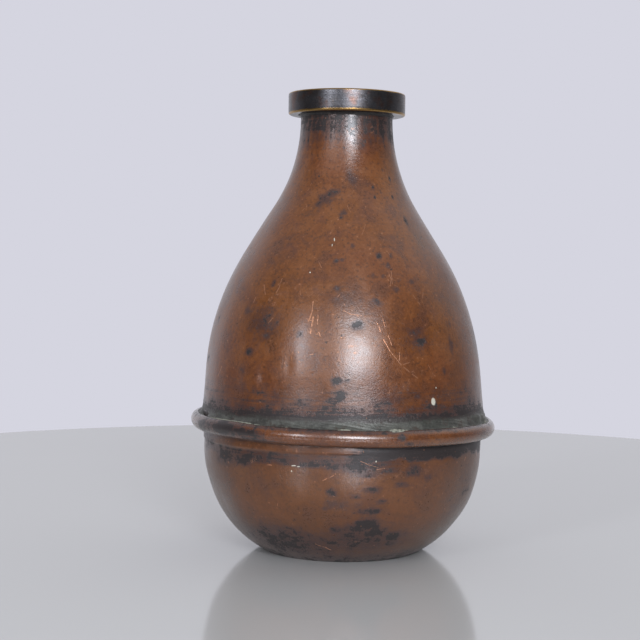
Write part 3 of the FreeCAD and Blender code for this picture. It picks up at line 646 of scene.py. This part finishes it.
BODY_STAINS = [  # angle, height, half width, half height, strength
    (5.5, 72.0, 2.1, 1.6, 1.5),
    (-36, 72, 8.5, 7, 0.66),
    (32, 67, 7, 4.0, 0.66),
    (2, 79.5, 8, 3.5, 0.55),
    (-14, 108.8, 5, 3.5, 0.35),
    (-20.5, 107.4, 2.2, 1.5, 0.85),
    (-16, 108.8, 3.0, 1.9, 0.9),
    (-13.3, 109.8, 2.6, 1.6, 0.85),
    (-11, 110.6, 2.4, 1.4, 0.8),
    (-6.5, 111.8, 1.6, 0.8, 0.65),
    (4.0, 116.6, 1.3, 2.0, 0.8),
    (6.6, 114.4, 1.9, 2.0, 0.9),
    (25.5, 112.6, 0.5, 0.7, 1.2),
    (25.5, 109.7, 0.4, 0.5, 1.2),
    (44.2, 109.7, 0.5, 0.8, 1.1),
    (48.5, 115.2, 0.6, 1.2, 0.9),
    (41, 118.2, 0.4, 0.6, 0.9),
    (48, 102.5, 1.2, 2.5, 0.7),
    (-1, 104.8, 1.3, 1.1, 0.9),
    (-3, 103.2, 0.9, 0.9, 0.85),
    (33.4, 67.2, 2.6, 1.3, 1.15),
    (29.5, 67.0, 2.4, 1.1, 0.8),
    (31, 70, 4.0, 2.6, 0.75),
    (-41, 63.4, 1.7, 1.4, 1.2),
    (-32.8, 68.2, 1.6, 1.5, 0.95),
    (-36, 71, 5.0, 3.6, 0.78),
    (-46.5, 75.2, 1.6, 1.8, 0.85),
    (-40.5, 70.7, 1.4, 1.2, 0.85),
    (-29, 71.5, 1.6, 2.4, 0.72),
    (-3.5, 82.4, 1.8, 1.4, 0.8),
    (-3.5, 79.1, 1.6, 1.6, 0.75),
    (-35, 83.4, 0.9, 1.3, 0.9),
    (-18, 69.2, 1.6, 1.4, 0.75),
    (-4.5, 90.3, 1.0, 0.8, 1.1),
    (-1.5, 90.6, 1.0, 0.5, 0.8),
    (4.5, 94.9, 0.8, 1.0, 0.85),
    (18.5, 92.0, 1.1, 1.2, 1.0),
    (22.5, 89.1, 0.9, 1.1, 1.0),
    (25.5, 92.0, 0.7, 1.3, 0.75),
    (18.8, 85.9, 0.8, 0.9, 0.8),
    (13.8, 86.2, 0.8, 1.2, 0.7),
    (24.2, 82.2, 1.6, 1.2, 0.85),
    (26.5, 84.6, 1.3, 1.0, 0.6),
    (34, 84.5, 1.0, 0.9, 1.0),
    (14, 78.5, 2.6, 1.5, 0.8),
    (0.2, 79.5, 1.6, 1.6, 0.7),
    (44, 58.3, 0.9, 1.4, 1.0),
    (50, 66, 1.2, 3.0, 0.8),
    (52, 72, 0.9, 1.6, 0.7),
    (-2.2, 56.2, 1.9, 1.0, 1.5),
    (1.5, 56.1, 1.3, 0.7, 1.1),
    (-1, 52.0, 1.7, 1.7, 1.6),
    (5, 52.3, 2.8, 0.8, 0.7),
    (-16, 49.8, 4.5, 0.6, 0.9),
    (-5, 50.6, 3.0, 0.9, 0.75),
    (-44, 57.5, 1.8, 1.6, 0.7),
    (29.8, 51.6, 1.2, 0.9, 1.2),
    (27, 51.0, 1.2, 0.6, 0.8),
    (16, 49.5, 4, 1.6, 0.9),
    (36, 47.4, 6, 1.6, 0.95),
    (60, 49, 4, 1.6, 0.8),
    (78, 66, 7, 6, 0.75),
    (88, 78, 1.3, 1.1, 1.3),
    (97, 57, 2.0, 1.0, 1.2),
    (118, 68, 1.0, 1.4, 1.1),
    (126, 104, 1.6, 1.8, 1.0),
    (156, 62, 1.6, 1.2, 1.3),
    (178, 98, 2.2, 1.4, 1.0),
    (187, 79, 1.2, 1.0, 1.2),
    (212, 88, 1.4, 1.6, 1.1),
    (231, 60, 1.8, 1.1, 1.2),
    (258, 108, 2.4, 1.6, 0.95),
    (268, 74, 1.2, 1.2, 1.2),
    (289, 72, 1.0, 1.3, 1.1),
    (104, 96, 3, 4, 0.8),
    (112, 90, 2, 2, 0.9),
    (138, 58, 7, 4, 0.8),
    (149, 74, 3, 5, 0.7),
    (160, 90, 3, 3, 0.85),
    (172, 84, 5, 2, 0.7),
    (190, 70, 4, 4, 0.85),
    (204, 57, 7, 3, 0.75),
    (222, 98, 3, 4, 0.8),
    (244, 66, 6, 4, 0.75),
    (252, 78, 2, 2, 0.9),
    (276, 86, 4, 5, 0.65),
    (283, 60, 3, 2, 0.85),
]
BODY_WEAR = [  # the same, where the skin is rubbed through in flecks
    (19, 51.9, 2.4, 1.0, 1.3),
    (14, 50.6, 3.0, 0.7, 0.9),
    (-32, 78, 5, 3.6, 0.8),
    (-31.5, 83, 3, 2.5, 0.7),
    (23, 85.5, 2.2, 3.2, 1.0),
    (1, 63, 4.5, 5, 0.55),
    (-1, 68.5, 1.2, 1.6, 1.0),
    (2, 74.6, 3.2, 1.2, 0.9),
    (-11, 69.5, 3, 3, 0.8),
    (6, 131, 2.6, 3.2, 0.6),
    (36, 130, 1.8, 3.4, 0.7),
    (24, 75, 2, 3, 0.6),
    (28, 57, 5, 4, 0.5),
    (-20, 80, 4, 3, 0.45),
    (120, 70, 8, 8, 0.6),
    (182, 92, 6, 7, 0.6),
    (232, 74, 8, 8, 0.6),
]


def body_outline():
    """Up the outside from the foot flange to the neck's top edge and down the inside, as a closed line."""
    sweep_centre = (NECK + SWEEP, NECK_FOOT)
    sweep_end = arc(sweep_centre, SWEEP, 180 + SHOULDER_LEAN, 180 + SHOULDER_LEAN, 1)[0]
    lean, foot_lean = math.radians(SHOULDER_LEAN), math.radians(SKIRT_LEAN)
    top_out, foot_out = (np.array([math.cos(a), math.sin(a)]) for a in (lean, foot_lean))
    down = np.array([math.sin(lean), -math.cos(lean)])
    foot_up = np.array([-math.sin(foot_lean), math.cos(foot_lean)])
    # The lengths of the straight shoulder and of the straight skirt close the chain from neck to foot. They
    # come from two equations, one for the radius and one for the height.
    gap = np.array(SKIRT) - sweep_end - BELLY * (foot_out - top_out)
    shoulder = np.linalg.solve(np.stack([down, -foot_up], 1), gap)[0]
    belly_top = sweep_end + shoulder * down
    belly_centre = belly_top - BELLY * top_out
    wall = np.vstack([
        run(SKIRT, belly_centre + BELLY * foot_out, 16),
        arc(belly_centre, BELLY, SKIRT_LEAN, SHOULDER_LEAN, 64),
        run(belly_top, sweep_end, 22),
        arc(sweep_centre, SWEEP, 180 + SHOULDER_LEAN, 180, 44),
        run((NECK, NECK_FOOT), (NECK, NECK_TOP), 3),
        [(NECK, NECK_TOP)],
    ])
    flange = [(44.0, 38.4), (45.7, 38.4), (45.7, 39.3), (44.6, 39.3)]
    inside = inset(wall, SHEET)[::-3]
    inside[0] = (NECK - SHEET, NECK_TOP)
    return np.vstack([flange, wall, inside])


def planished(angle, ridges):
    """How far each point lies below the ridges beside it.

    Across a strip u runs from -1 to 1, and the depth follows the cosine of a quarter turn of u, rounded off
    at the ridges by taking the square root of its square plus a small square.
    """
    turn, blunt = apart(angle, 0), 0.4
    edges = np.array(ridges)
    strip = np.clip(np.searchsorted(edges, turn) - 1, 0, len(edges) - 2)
    across = (turn - edges[strip]) / (edges[strip + 1] - edges[strip]) * 2 - 1
    depth = np.random.default_rng(8).uniform(0.08, 0.2, len(edges))[strip]
    return depth * (np.hypot(np.cos(across * math.pi / 2), blunt) - blunt)


def body_shape(radius, height, angle):
    """Planished strips on the belly, dents, slow ripples, and a belly that bulges a little towards -X.

    The strips wander from side to side on their way up, as a sine of the height, with a phase that changes
    round the bottle.
    """
    free = smooth(height, 45, 50) * smooth(height, 131, 120)
    strips = smooth(height, 45, 54) * smooth(height, 92, 72)
    phase = height / SWAY_HEIGHT + 0.6 - 4.7 * np.sin(np.radians(angle))
    wander = SWAY * np.sin(phase) + DRIFT * (height - 62)
    out = -strips * planished(angle + wander, RIDGES)
    out = out + free * waves(angle - height, 2, (2, 3, 5, 7, 11), 0.055)
    out = dented(out, free, radius, height, angle, BODY_DENTS)
    bulge = BELLY_BULGE * smooth(height, 50, 80) * smooth(height, 122, 100)
    out = out - bulge * np.sin(np.radians(angle))
    return radius + out, height


def body_pattern(radius, height, angle):
    """Oxide under the collar, running down in streaks, in blotches, and in a ragged band above the waist.

    The skin is a little darker lower down, has painted shade at the right, and is rubbed smoother down the
    front of the neck beside a duller strip.
    """
    ragged = waves(angle, 21, (3, 7, 12, 19, 31), 0.7)
    collar = 0.94 * smooth(height, 119.5, 133)
    waist = 0.48 * smooth(height, 59, 51) + 0.62 * smooth(height, 49 + ragged, 45.4)
    marks = stain(radius, height, angle, BODY_STAINS)
    # Painted shade at the right side of the bottle.
    shaded = smooth(np.abs(apart(angle, 100)), 65, 30)
    rubbed = hill(apart(angle, 9), 15) - 0.6 * hill(apart(angle, -20), 14)
    return {
        "oxide": np.maximum.reduce([collar, waist, marks]),
        "streak": 0.06 + 0.75 * smooth(height, 58, 49) + 0.3 * smooth(height, 112, 122),
        "drip": smooth(height, 117, 126),
        "tone": 0.2 + 0.7 * smooth(height, 72, 54) + 0.1 * smooth(height, 112, 122),
        "wear": stain(radius, height, angle, BODY_WEAR),
        # A little darker lower down, plus painted shade at the right.
        "darkening_and_shade": 0.05 * smooth(height, 112, 100) + 0.1 * smooth(height, 62, 50) + 0.42 * shaded,
        "polish": smooth(height, 96, 118) * rubbed,
    }


upper_body = turned("upper_body_copper", body_outline(), BODY_TURNS, body_shape, body_pattern)
body_scratches = [
    (
        [(13.5, 73.4), (14.8, 70.7), (16.2, 67.7), (18.2, 64.9), (20.5, 62.9), (23.2, 60.6), (26.8, 58.5)],
        0.2,
    ),
    ([(26.8, 58.5), (30.2, 56.7)], 0.13),
    ([(18, 69), (19.5, 66.2)], 0.14),
    ([(22.6, 64.2), (22.3, 62)], 0.16),
    ([(23.2, 60.6), (27, 61.4)], 0.12),
    ([(16, 74.6), (17, 71.5)], 0.1),
    ([(-13.8, 78.3), (-13.6, 75.2), (-14.9, 73.0)], 0.26),
    ([(-13.0, 74.0), (-13.5, 69.6)], 0.3),
    ([(-11.3, 76), (-10.8, 72)], 0.14),
    ([(-15.8, 73.5), (-12.8, 73)], 0.16),
    ([(-10.6, 70.6), (-9.5, 68.6)], 0.14),
    ([(-30.8, 84.9), (-31.3, 82.7), (-32, 80.6)], 0.22),
    ([(-40.6, 83), (-38, 80.2)], 0.24),
    ([(-43.5, 79.3), (-43.9, 77.8)], 0.2),
    ([(-31.2, 73.5), (-33.2, 71.9)], 0.16),
    ([(-20.5, 81.8), (-19.8, 80.3)], 0.12),
    ([(21.8, 87.6), (22.9, 85.3), (21.7, 83.4)], 0.2),
    ([(23.6, 87.4), (23.1, 83.9)], 0.14),
    ([(20.1, 86.3), (21.6, 84.6)], 0.13),
    ([(-2, 76.4), (3, 75.0), (9, 74.6)], 0.1),
    ([(4, 129.2), (9, 130.7)], 0.12),
    ([(103, 66), (112, 72), (116, 78)], 0.2),
    ([(150, 80), (153, 71), (152, 66)], 0.2),
    ([(-160, 62), (-152, 66)], 0.16),
    ([(-128, 88), (-124, 79)], 0.2),
    ([(-84, 70), (-80, 75), (-79, 80)], 0.18),
    *stray_scratches(62, 24, (50, 118)),
]
body_nicks = [
    ((37.2, 49.7), 0.7, 1.15),
    ((38.8, 53.8), 0.2, 0.22),
    ((-6.4, 96.6), 0.22, 0.55),
    ((-7.4, 94.9), 0.16, 0.35),
    ((-17, 86.9), 0.3, 0.16),
]
upper_body.data.materials.append(aged_copper("body_copper", body_scratches, body_nicks))
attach(upper_body, "root")
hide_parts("upper_body")


# --- Waist solder -----------------------------------------------------------------------------------
# Soft solder run into the gutter and feathered up the belly. It is dull, lumpy, green in places and crusted
# pale along the lip, with a gap at the left.

SOLDER_TOP = 45.6
SEAM_TURNS = 480
SOLDER_DARK, SOLDER_GREY, SOLDER_SPECK = (0.066, 0.064, 0.056), (0.145, 0.145, 0.126), (0.2, 0.2, 0.175)
SOLDER_GREEN, SOLDER_RUST = (0.075, 0.086, 0.068), (0.075, 0.046, 0.034)
LIP_CRUST, SOLDER_SOOT = (0.46, 0.46, 0.37), (0.055, 0.043, 0.04)
SOLDER_LUMPS = [  # angle, height, half width, half height, and how far it stands proud
    (20, 41.9, 4.2, 1.2, 0.75),
    (-38, 42.2, 5.5, 1.3, 0.55),
    (-22, 41.9, 3.0, 0.9, 0.35),
    (1, 42.0, 3.2, 1.0, 0.45),
    (47, 42.6, 5.0, 1.5, 0.4),
    (66, 43.4, 2.2, 1.6, 1.0),
    (72, 42.6, 2.0, 1.3, 0.8),
    (-73, 42.6, 4.0, 1.6, -1.5),
    (118, 42.2, 5.0, 1.4, 0.7),
    (151, 42.0, 4.0, 1.1, 0.5),
    (187, 42.4, 6.0, 1.5, 0.6),
    (214, 42.2, 2.5, 1.2, -0.8),
    (243, 42.3, 4.5, 1.3, 0.7),
]


def seam_outline():
    """Up the hollow face from the lip to the belly, and back down against the belly, the flange and roll.

    The face is a quadratic Bezier curve from the lip to the top, drawn towards the bow.
    """
    lip, bow, top = np.array([46.0, 41.75]), np.array([44.3, 42.1]), np.array([43.8, SOLDER_TOP + 0.25])
    share = np.linspace(0, 1, 26)[:, None]
    face = (1 - share) ** 2 * lip + 2 * share * (1 - share) * bow + share**2 * top
    back = [(43.6, SOLDER_TOP), (43.85, 42.0), (44.2, 39.0)]
    return np.vstack([[(46.3, 39.6), (46.5, 40.6)], face, back])


def seam_shape(radius, height, angle):
    """Lumps and runs on the open face: broad waves, small ones that change with height, and blobs."""
    face = smooth(height, 41.3, 41.9) * smooth(radius, 43.7, 43.9)
    feather = smooth(height, SOLDER_TOP, 43.2)
    out = waves(angle, 31, (5, 8, 13), 0.07) + waves(angle + 9 * height, 32, (23, 37, 53), 0.05)
    out = out + waves(angle - 14 * height, 33, (71, 97), 0.03)
    for *place, proud in SOLDER_LUMPS:
        out = out + proud * patch(radius, height, angle, *place)
    top = waves(angle, 34, (4, 7, 11, 19, 29), 0.12) * smooth(height, 43.0, SOLDER_TOP)
    lift, swell = bead_sway(angle)
    low, out = smooth(height, 43.5, 41.5), feather * out
    return radius + face * out * 0.75 + low * swell, height + face * (out * 0.6 + top) + low * lift


def seam_pattern(radius, height, angle):
    """Pale crust along the lip, thicker on the blobs, and the dark oxide that feathers up the belly."""
    blobs = stain(radius, height, angle, [(*lump[:4], 1.0) for lump in SOLDER_LUMPS if lump[4] > 0])
    rise = 0.6 * hill(apart(angle, -49), 15)
    edge = smooth(height, 42.6 + rise, 41.8 + rise) * smooth(height, 41.0, 41.5)
    thick = 0.6 + 0.8 * hill(apart(angle, -48), 15) + 0.3 * hill(apart(angle, 23), 7)
    return {
        "crust": np.maximum(thick * edge, 0.85 * blobs * smooth(height, 42.9, 42.0)),
        "oxide": smooth(height, 43.0, 45.2),
    }


seam_solder = turned("seam_solder_run", seam_outline(), SEAM_TURNS, seam_shape, seam_pattern)
material, tree, shader = new_material("crusted_solder")
cloud, speck = tree.grain(5, 5, 0.65), tree.grain(0.9, 4, 0.65)
grey = cloud.step(0.35, 0.65).tint(SOLDER_DARK, SOLDER_GREY)
grey = (speck.step(0.5, 0.75) * 0.5).tint(grey, SOLDER_SPECK)
grey = (tree.grain(9, 3).step(0.5, 0.68) * 0.5).tint(grey, SOLDER_GREEN)
grey = (tree.grain(4, 4, 0.7).step(0.54, 0.68) * 0.75).tint(grey, SOLDER_RUST)
crust = (tree.value("crust") + (speck - 0.5) * 1.2 + (cloud - 0.5) * 1.2).step(0.55, 0.85)
grey = (crust * 0.88).tint(grey, LIP_CRUST)
dark = (tree.value("oxide") + (cloud - 0.5) * 1.8 + (speck - 0.5) * 1.2).step(0.4, 0.9)
grey = (dark * 0.85).tint(grey, SOLDER_SOOT)
relief = cloud * 0.8 + speck * 0.6 + crust * 0.3
normal = tree.node("Bump", {"Strength": 0.7, "Distance": 0.0004, "Height": relief})
rough = 0.42 + crust * 0.25 + (speck - 0.5) * 0.3
feed(shader, {"Base Color": grey, "Roughness": rough, "Normal": normal})
shader.inputs["Metallic"].default_value = 0.25
seam_solder.data.materials.append(material)
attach(seam_solder, "root")
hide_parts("seam_solder")


# --- Mouth collar -----------------------------------------------------------------------------------
# Turned brass ring, tarnished nearly black, with its corners rubbed back to yellow metal. Its socket takes
# the neck from below, and fine turning marks run round its side.

COLLAR, MOUTH = 18.2, 12.7  # outer and inner radius
COLLAR_FOOT, COLLAR_TOP = 135.6, 142.3
COLLAR_CORNER = 0.5  # radius of its corners
SOLDER_FILM = 0.1  # the gap between the neck and its socket
COLLAR_TURNS = 288
TARNISH, BROWN_TARNISH, TURNED_LINE = (0.118, 0.115, 0.124), (0.085, 0.072, 0.07), (0.07, 0.067, 0.072)
TARNISH_SPECK, RED_TARNISH, YELLOW_BRASS = (0.22, 0.15, 0.09), (0.15, 0.065, 0.04), (0.45, 0.27, 0.085)


def collar_outline():
    """Up the outside, across the top, down the mouth, out across the socket's ceiling and down its wall."""
    corner, socket = COLLAR_CORNER, NECK + SOLDER_FILM
    outer, mouth = COLLAR - corner, MOUTH + corner
    return np.vstack([
        run((socket, COLLAR_FOOT), (outer, COLLAR_FOOT), 6),
        arc((outer, COLLAR_FOOT + corner), corner, -90, 0, 9),
        run((COLLAR, COLLAR_FOOT + corner), (COLLAR, COLLAR_TOP - corner), 26),
        arc((outer, COLLAR_TOP - corner), corner, 0, 90, 9),
        run((outer, COLLAR_TOP), (mouth, COLLAR_TOP), 12),
        arc((mouth, COLLAR_TOP - corner), corner, 90, 180, 7),
        run((MOUTH, COLLAR_TOP - corner), (MOUTH, NECK_TOP), 6),
        [(MOUTH, NECK_TOP), (socket, NECK_TOP), (socket, COLLAR_FOOT + 0.05), (socket, COLLAR_FOOT)],
    ])


def collar_shape(radius, height, angle):
    """The corners are worn unevenly, and the ring is a hair out of round and tips a little to +X."""
    corner = hill(height - COLLAR_TOP, 0.8) + hill(height - COLLAR_FOOT, 0.8)
    outside = smooth(radius, 16.5, 17.6)
    worn = outside * corner * (0.07 + waves(angle, 41, (3, 7, 12, 17), 0.025))
    tip = -0.09 * np.sin(np.radians(angle)) * radius / COLLAR
    return radius - worn + outside * waves(angle, 42, (2, 3, 5), 0.025), height + tip


def collar_pattern(radius, height, angle):
    """Wear on the two outer corners, most at the front of the lower one, and on the mouth's edge."""
    outside = smooth(radius, 16.8, 17.9)
    top = outside * hill(height - COLLAR_TOP + 0.12, 0.4)
    foot = outside * hill(height - COLLAR_FOOT - 0.25, 0.6)
    inner = smooth(radius, MOUTH + 0.9, MOUTH + 0.3) * smooth(height, COLLAR_TOP - 0.8, COLLAR_TOP - 0.3)
    foot = foot * (0.72 + 0.4 * np.cos(np.radians(angle - 5)))
    return {"wear": np.maximum.reduce([top, foot, inner])}


mouth_collar = turned("mouth_collar_brass", collar_outline(), COLLAR_TURNS, collar_shape, collar_pattern)
material, tree, shader = new_material("tarnished_brass")
turning = tree.grain(12, 4, 0.7, stretch=(1, 1, 60))
cloud, speck = tree.grain(5, 4, 0.6), tree.grain(0.7, 4, 0.65)
dark = cloud.step(0.35, 0.68).tint(TARNISH, BROWN_TARNISH)
dark = (turning.step(0.45, 0.6) * 0.5).tint(dark, TURNED_LINE)
dark = (speck.step(0.58, 0.75) * 0.5).tint(dark, TARNISH_SPECK)
dark = (tree.grain(6, 3).step(0.53, 0.68) * 0.6).tint(dark, RED_TARNISH)
bright = tree.value("wear") + (speck - 0.5) * 0.55 + (cloud - 0.5) * 0.6 + (turning - 0.5) * 0.2
bright = bright.step(0.45, 0.72)
colour = (bright * 0.9).tint(dark, YELLOW_BRASS)
relief = turning * 0.8 + speck * 0.4 + cloud * 0.5 + bright * 0.2
normal = tree.node("Bump", {"Strength": 0.25, "Distance": 0.0002, "Height": relief})
feed(shader, {
    "Base Color": colour,
    "Roughness": 0.31 + (speck - 0.5) * 0.2 + (turning - 0.5) * 0.3,
    "Metallic": 0.9 + bright * 0.1,
    "Normal": normal,
})
shader.inputs["Coat Weight"].default_value = 0.2
shader.inputs["Coat Roughness"].default_value = 0.2
mouth_collar.data.materials.append(material)
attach(mouth_collar, "root")
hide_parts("mouth_collar")


# --- Collar solder ----------------------------------------------------------------------------------
# The film of solder that holds the neck in the collar's socket. It ends in a small hollow fillet under the
# collar, blackened like the neck below it.

FILLET = 0.9  # radius of the hollow
FILLET_TURNS = 240
BLACK_SOLDER, DULL_SOLDER = (0.035, 0.033, 0.036), (0.085, 0.075, 0.068)


def fillet_outline():
    """Up the hollow fillet from the neck to the collar's foot, then up the film and back down the neck."""
    fillet = arc((NECK + FILLET, COLLAR_FOOT - FILLET), FILLET, 180, 90, 9)
    film = [(NECK + SOLDER_FILM, COLLAR_FOOT), (NECK + SOLDER_FILM, NECK_TOP), (NECK, NECK_TOP)]
    return np.vstack([fillet, film, run((NECK, NECK_TOP), (NECK, COLLAR_FOOT - FILLET), 2)])


def fillet_shape(radius, height, angle):
    """The fillet's foot wanders a little up and down the neck."""
    fillet = smooth(height, COLLAR_FOOT, COLLAR_FOOT - 0.5)
    return radius, height + fillet * waves(angle, 51, (3, 5, 9, 14), 0.08)


collar_solder = turned("collar_solder_fillet", fillet_outline(), FILLET_TURNS, fillet_shape)
material, tree, shader = new_material("blackened_solder")
speck = tree.grain(0.8, 4, 0.65)
black = speck.step(0.35, 0.7).tint(BLACK_SOLDER, DULL_SOLDER)
normal = tree.node("Bump", {"Strength": 0.5, "Distance": 0.0002, "Height": speck})
feed(shader, {"Base Color": black, "Roughness": 0.4 + speck * 0.2, "Normal": normal})
collar_solder.data.materials.append(material)
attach(collar_solder, "root")
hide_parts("collar_solder")


# --- Table, room and lights -------------------------------------------------------------------------
# A small round table with a glossy pale top, in a pale room whose far side is the brighter one. Behind the
# camera are a soft window with a bright wall round it, a little to the right, and a tall one to the left.

TABLE_RADIUS, TABLE_EDGE, TABLE_CENTRE = 291.0, 8.0, 65.0  # its edge's radius, and how far back it stands
TABLE_TURNS = 256
TABLE_PALE = (0.73, 0.73, 0.715)
table_outline = np.vstack([
    [(0, -2 * TABLE_EDGE), (TABLE_RADIUS - 12, -2 * TABLE_EDGE)],
    arc((TABLE_RADIUS - TABLE_EDGE, -TABLE_EDGE), TABLE_EDGE, -90, 90, 17),
    [(TABLE_RADIUS - 9, 0), (TABLE_RADIUS - 12, 0), (TABLE_RADIUS - 60, 0), (60, 0), (0, 0)],
])
table = turned("table_top", table_outline, TABLE_TURNS)
table.location.y = TABLE_CENTRE * MM
material, tree, shader = new_material("pale_gloss_top")
shader.inputs["Base Color"].default_value = (*TABLE_PALE, 1)
shader.inputs["Roughness"].default_value = 0.1
shader.inputs["IOR"].default_value = 1.75
table.data.materials.append(material)

world = bpy.data.worlds.new("pale_room")
bpy.context.scene.world = world
world.use_nodes = True
room = Field(world.node_tree)
direction = room.node("TexCoord", out="Generated")
NEAR_WALL, FAR_WALL, SEEN_WALL = (0.085, 0.085, 0.09), (0.68, 0.68, 0.74), (0.665, 0.665, 0.745)
DARK_CORNER, CEILING, CEILING_GLOW = (0.08, 0.08, 0.08), (0.4, 0.4, 0.42), (0.85, 0.85, 0.85)


def towards(x, y, z):
    """How far the room's direction points along another: their dot product."""
    return room.node("VectorMath", {0: direction, 1: (x, y, z)}, out="Value", operation="DOT_PRODUCT")


wall = towards(0, 1, 0).step(-0.1, 0.92).tint(NEAR_WALL, FAR_WALL)
wall = (towards(0.95, 0.2, 0).step(0.5, 0.95) * 0.5).tint(wall, DARK_CORNER)
wall = (towards(0, 0, 1).step(0.4, 0.9) * 0.9).tint(wall, CEILING)
wall = (towards(0.56, 0.32, 0.77).step(0.8, 0.97) * 0.6).tint(wall, CEILING_GLOW)
seen = room.node("LightPath", out="Is Camera Ray").tint(wall, SEEN_WALL)
background = next(n for n in world.node_tree.nodes if n.type == "BACKGROUND")
world.node_tree.links.new(seen.socket, background.inputs["Color"])


DAYLIGHT = (0.96, 1.0, 1.08)
BOTTLE_MIDDLE = 0.07  # metres above the table, as are the lights' sizes and distances


def window_light(name, azimuth, elevation, distance, wide, tall, power):
    """A soft upright oval that faces the bottle's middle, at an azimuth from the front and an elevation."""
    light = bpy.data.lights.new(name, "AREA")
    light.shape, light.size, light.size_y, light.energy = "ELLIPSE", wide, tall, power
    light.color = DAYLIGHT
    stand = bpy.data.objects.new(name, light)
    bpy.context.scene.collection.objects.link(stand)
    turn, rise = math.radians(azimuth), math.radians(elevation)
    level = distance * math.cos(rise)
    up = BOTTLE_MIDDLE + distance * math.sin(rise)
    stand.location = (level * math.sin(turn), -level * math.cos(turn), up)
    stand.rotation_euler = (math.pi / 2 - rise, 0, turn)
    stand.visible_camera = False


window_light("right_window", azimuth=11, elevation=16.5, distance=1.3, wide=0.44, tall=0.44, power=6.6)
window_light("bright_wall", azimuth=11, elevation=18, distance=1.45, wide=0.95, tall=0.95, power=4.6)
window_light("left_window", azimuth=-33.5, elevation=16, distance=1.3, wide=0.2, tall=0.5, power=2.9)


# --- Camera -----------------------------------------------------------------------------------------
# A long lens level with the bottle's upper belly and about half a metre away. It looks slightly down and a
# little to the left, and is slightly rolled.

camera = bpy.data.objects.new("camera", bpy.data.cameras.new("camera"))
bpy.context.scene.collection.objects.link(camera)
camera.data.sensor_width = 36
camera.data.lens = 84.375
camera.location = (0, -0.471, 0.091)
AIM_DOWN, AIM_LEFT, ROLL = 2.35, 0.917, 0.75
camera.rotation_mode = "QUATERNION"
left_turn = Quaternion((0, 0, 1), math.radians(AIM_LEFT))
tilt = Quaternion((1, 0, 0), math.radians(90 - AIM_DOWN))
camera.rotation_quaternion = left_turn @ tilt @ Quaternion((0, 0, 1), math.radians(ROLL))
bpy.context.scene.camera = camera
bpy.context.scene.view_settings.view_transform = "Standard"
